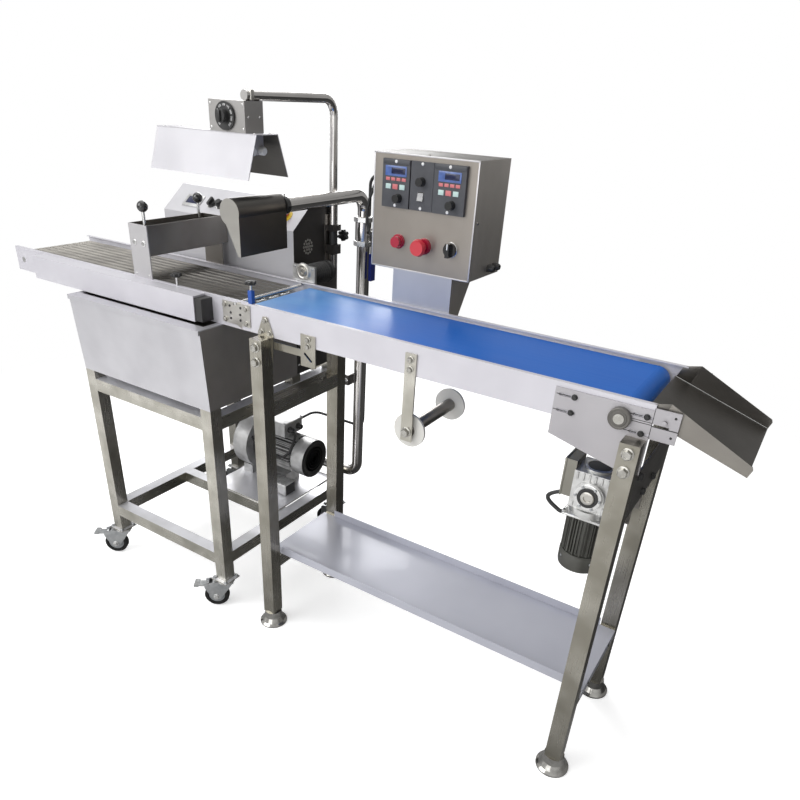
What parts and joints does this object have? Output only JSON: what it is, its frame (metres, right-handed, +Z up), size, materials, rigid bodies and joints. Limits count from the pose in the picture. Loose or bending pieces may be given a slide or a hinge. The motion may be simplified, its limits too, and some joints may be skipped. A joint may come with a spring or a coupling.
{
  "type": "chocolate enrober",
  "caption": "Wheeled chocolate enrober: heated tank cart with wire mesh belt, curtain trough, air nozzle and lamp, joined to a blue belt conveyor with control box and chute.",
  "frame": {"origin": "middle of the machine's box, on the floor", "axes": "+X from the mesh infeed to the chute, +Y from the operator's side to the rear, +Z up"},
  "size_m": [2.1195, 0.711, 1.402],
  "materials": {
    "stainless": "brushed stainless tube and sheet",
    "white_panel": "white coated sheet",
    "dark_steel": "dark brushed steel sheet",
    "zinc": "galvanised steel",
    "tyre_black": "black rubber tread on a grey hub",
    "mesh_wire": "bright steel wire",
    "belt_blue": "smooth blue belt",
    "black_plastic": "black moulded plastic",
    "charcoal_plastic": "charcoal module cases",
    "red_plastic": "red moulded plastic",
    "blue_grip": "dark blue dipped grip",
    "motor_grey": "dark grey motor paint",
    "blower_grey": "cast aluminium",
    "shelf_film": "pale film on sheet steel",
    "box_grey": "warm grey steel case",
    "cable_black": "black cable sheath"
  },
  "bodies": {
    "machine": {"cart_frame": "stainless", "tank_casing": "white_panel", "tank_pan": "stainless", "chocolate_pump": "stainless", "cabinet": "white_panel", "mesh_rails": "white_panel", "mesh_belt": "mesh_wire", "detailer_motor": "motor_grey", "trough": "dark_steel", "air_nozzle": "dark_steel", "air_pipe": "stainless", "ring_blower": "blower_grey", "conveyor_legs": "stainless", "shelf": "shelf_film", "conveyor_rails": "white_panel", "drive_plates": "stainless", "blue_belt": "belt_blue", "gearmotor": "motor_grey", "drive_chain": "dark_steel", "spool_arm": "stainless", "control_post": "box_grey", "control_box": "box_grey", "control_cable": "cable_black", "panel_modules": "charcoal_plastic"},
    "lamp": {"lamp_pole": "stainless", "heater_hood": "white_panel"},
    "caster_fork_fl": {"caster_fork_fl": "zinc"},
    "caster_wheel_fl": {"caster_wheel_fl": "tyre_black"},
    "caster_fork_fr": {"caster_fork_fr": "zinc"},
    "caster_wheel_fr": {"caster_wheel_fr": "tyre_black"},
    "caster_fork_rl": {"caster_fork_rl": "zinc"},
    "caster_wheel_rl": {"caster_wheel_rl": "tyre_black"},
    "caster_fork_rr": {"caster_fork_rr": "zinc"},
    "caster_wheel_rr": {"caster_wheel_rr": "tyre_black"},
    "brake_pedal_fl": {"brake_pedal_fl": "black_plastic"},
    "brake_pedal_fr": {"brake_pedal_fr": "black_plastic"},
    "cabinet_selector": {"cabinet_selector": "black_plastic"},
    "cabinet_dial": {"cabinet_dial": "black_plastic"},
    "cabinet_stop": {"cabinet_stop": "red_plastic"},
    "mesh_drive_shaft": {"mesh_drive_shaft": "stainless"},
    "mesh_tail_shaft": {"mesh_tail_shaft": "stainless"},
    "detailer_rod": {"detailer_rod": "stainless"},
    "gate_front": {"gate_front": "black_plastic"},
    "gate_rear": {"gate_rear": "black_plastic"},
    "valve_lever": {"valve_lever": "blue_grip"},
    "blower_impeller": {"blower_impeller": "blower_grey"},
    "lamp_collar": {"lamp_collar": "black_plastic"},
    "clamp_knob": {"clamp_knob": "black_plastic"},
    "heater_dial": {"heater_dial": "black_plastic"},
    "drive_roller": {"drive_roller": "stainless"},
    "tail_roller": {"tail_roller": "stainless"},
    "motor_sprocket": {"motor_sprocket": "dark_steel"},
    "spool": {"spool": "stainless"},
    "chute": {"chute": "dark_steel"},
    "left_knob": {"left_knob": "black_plastic"},
    "middle_knob": {"middle_knob": "black_plastic"},
    "right_knob": {"right_knob": "black_plastic"},
    "rocker": {"rocker": "black_plastic"},
    "box_stop": {"box_stop": "red_plastic"},
    "box_selector": {"box_selector": "black_plastic"}
  },
  "joints": [
    {"name": "swivel_fl", "type": "hinge", "parent": "machine", "child": "caster_fork_fl", "pos_m": [-0.68553, -0.2865, 0.098], "axis": [0, 0, 1], "continuous": true},
    {"name": "roll_fl", "type": "hinge", "parent": "caster_fork_fl", "child": "caster_wheel_fl", "pos_m": [-0.71011, -0.30371, 0.0375], "axis": [0.5736, -0.8192, 0], "continuous": true},
    {"name": "swivel_fr", "type": "hinge", "parent": "machine", "child": "caster_fork_fr", "pos_m": [-0.20853, -0.2865, 0.098], "axis": [0, 0, 1], "continuous": true},
    {"name": "roll_fr", "type": "hinge", "parent": "caster_fork_fr", "child": "caster_wheel_fr", "pos_m": [-0.23311, -0.30371, 0.0375], "axis": [0.5736, -0.8192, 0], "continuous": true},
    {"name": "swivel_rl", "type": "hinge", "parent": "machine", "child": "caster_fork_rl", "pos_m": [-0.68553, 0.2645, 0.098], "axis": [0, 0, 1], "continuous": true},
    {"name": "roll_rl", "type": "hinge", "parent": "caster_fork_rl", "child": "caster_wheel_rl", "pos_m": [-0.71372, 0.25424, 0.0375], "axis": [0.342, -0.9397, 0], "continuous": true},
    {"name": "swivel_rr", "type": "hinge", "parent": "machine", "child": "caster_fork_rr", "pos_m": [-0.20853, 0.2645, 0.098], "axis": [0, 0, 1], "continuous": true},
    {"name": "roll_rr", "type": "hinge", "parent": "caster_fork_rr", "child": "caster_wheel_rr", "pos_m": [-0.23808, 0.25929, 0.0375], "axis": [0.1736, -0.9848, 0], "continuous": true},
    {"name": "brake_fl", "type": "hinge", "parent": "caster_fork_fl", "child": "brake_pedal_fl", "pos_m": [-0.7314, -0.31862, 0.076], "axis": [0.5736, -0.8192, 0], "range_deg": [0, 15]},
    {"name": "brake_fr", "type": "hinge", "parent": "caster_fork_fr", "child": "brake_pedal_fr", "pos_m": [-0.2544, -0.31862, 0.076], "axis": [0.5736, -0.8192, 0], "range_deg": [0, 15]},
    {"name": "cabinet_selector_turn", "type": "hinge", "parent": "machine", "child": "cabinet_selector", "pos_m": [-0.53453, 0.0867, 1.1024], "axis": [0, -0.6178, 0.7863], "range_deg": [0, 90]},
    {"name": "cabinet_dial_turn", "type": "hinge", "parent": "machine", "child": "cabinet_dial", "pos_m": [-0.50053, 0.0867, 1.1024], "axis": [0, -0.6178, 0.7863], "range_deg": [0, 270]},
    {"name": "cabinet_stop_press", "type": "slide", "parent": "machine", "child": "cabinet_stop", "axis": [0, 0.6178, -0.7863], "range_m": [0, 0.005], "stiffness_N_per_m": 3000},
    {"name": "mesh_drive", "type": "hinge", "parent": "machine", "child": "mesh_drive_shaft", "pos_m": [-0.17153, -0.1075, 0.917], "axis": [0, 1, 0], "continuous": true},
    {"name": "mesh_tail", "type": "hinge", "parent": "machine", "child": "mesh_tail_shaft", "pos_m": [-1.02653, -0.1075, 0.917], "axis": [0, 1, 0], "continuous": true},
    {"name": "detailer_turn", "type": "hinge", "parent": "machine", "child": "detailer_rod", "pos_m": [-0.13853, -0.1075, 0.946], "axis": [0, 1, 0], "continuous": true},
    {"name": "gate_front_swing", "type": "hinge", "parent": "machine", "child": "gate_front", "pos_m": [-0.45653, -0.1075, 1.042], "axis": [0, 1, 0], "range_deg": [-12, 12]},
    {"name": "gate_rear_swing", "type": "hinge", "parent": "machine", "child": "gate_rear", "pos_m": [-0.49053, -0.1075, 1.042], "axis": [0, 1, 0], "range_deg": [-12, 12]},
    {"name": "valve_turn", "type": "hinge", "parent": "machine", "child": "valve_lever", "pos_m": [-0.11553, 0.3205, 1.05], "axis": [-1, 0, 0], "range_deg": [0, 90]},
    {"name": "impeller_spin", "type": "hinge", "parent": "machine", "child": "blower_impeller", "pos_m": [-0.47053, 0.1825, 0.31], "axis": [1, 0, 0], "continuous": true},
    {"name": "lamp_swing", "type": "hinge", "parent": "machine", "child": "lamp_collar", "pos_m": [-0.18153, 0.2125, 1.041], "axis": [0, 0, 1], "range_deg": [-50, 5]},
    {"name": "clamp_screw", "type": "hinge", "parent": "lamp_collar", "child": "clamp_knob", "pos_m": [-0.18153, 0.2565, 1.041], "axis": [0, 1, 0], "continuous": true},
    {"name": "lamp_raise", "type": "slide", "parent": "lamp_collar", "child": "lamp", "axis": [0, 0, 1], "range_m": [-0.03, 0.08]},
    {"name": "heater_dial_turn", "type": "hinge", "parent": "lamp", "child": "heater_dial", "pos_m": [-0.22853, -0.1475, 1.347], "axis": [0, -1, 0], "range_deg": [0, 270]},
    {"name": "drive_roll", "type": "hinge", "parent": "machine", "child": "drive_roller", "pos_m": [0.82347, -0.1075, 0.915], "axis": [0, 1, 0], "continuous": true},
    {"name": "tail_roll", "type": "hinge", "parent": "machine", "child": "tail_roller", "pos_m": [-0.10153, -0.1075, 0.915], "axis": [0, 1, 0], "continuous": true},
    {"name": "motor_turn", "type": "hinge", "parent": "machine", "child": "motor_sprocket", "pos_m": [0.78547, -0.1075, 0.702], "axis": [0, 1, 0], "continuous": true},
    {"name": "spool_turn", "type": "hinge", "parent": "machine", "child": "spool", "pos_m": [0.37147, -0.1075, 0.75], "axis": [0, 1, 0], "continuous": true},
    {"name": "chute_tilt", "type": "hinge", "parent": "machine", "child": "chute", "pos_m": [0.90147, -0.1075, 0.925], "axis": [0, 1, 0], "range_deg": [-6, 10]},
    {"name": "left_knob_turn", "type": "hinge", "parent": "machine", "child": "left_knob", "pos_m": [0.15747, 0.0175, 1.197], "axis": [0, -1, 0], "range_deg": [0, 270]},
    {"name": "middle_knob_turn", "type": "hinge", "parent": "machine", "child": "middle_knob", "pos_m": [0.21747, 0.0175, 1.238], "axis": [0, -1, 0], "range_deg": [0, 270]},
    {"name": "right_knob_turn", "type": "hinge", "parent": "machine", "child": "right_knob", "pos_m": [0.29947, 0.0175, 1.197], "axis": [0, -1, 0], "range_deg": [0, 270]},
    {"name": "rocker_tilt", "type": "hinge", "parent": "machine", "child": "rocker", "pos_m": [0.21647, 0.0215, 1.206], "axis": [1, 0, 0], "range_deg": [-8, 8]},
    {"name": "box_stop_press", "type": "slide", "parent": "machine", "child": "box_stop", "axis": [0, 1, 0], "range_m": [0, 0.006], "stiffness_N_per_m": 3000},
    {"name": "box_selector_turn", "type": "hinge", "parent": "machine", "child": "box_selector", "pos_m": [0.30347, 0.0125, 1.1], "axis": [0, -1, 0], "range_deg": [0, 90]}
  ],
  "couplings": [
    {"joint": "mesh_tail", "follows": "mesh_drive", "ratio": 1},
    {"joint": "tail_roll", "follows": "drive_roll", "ratio": 1},
    {"joint": "motor_turn", "follows": "drive_roll", "ratio": 1}
  ]
}
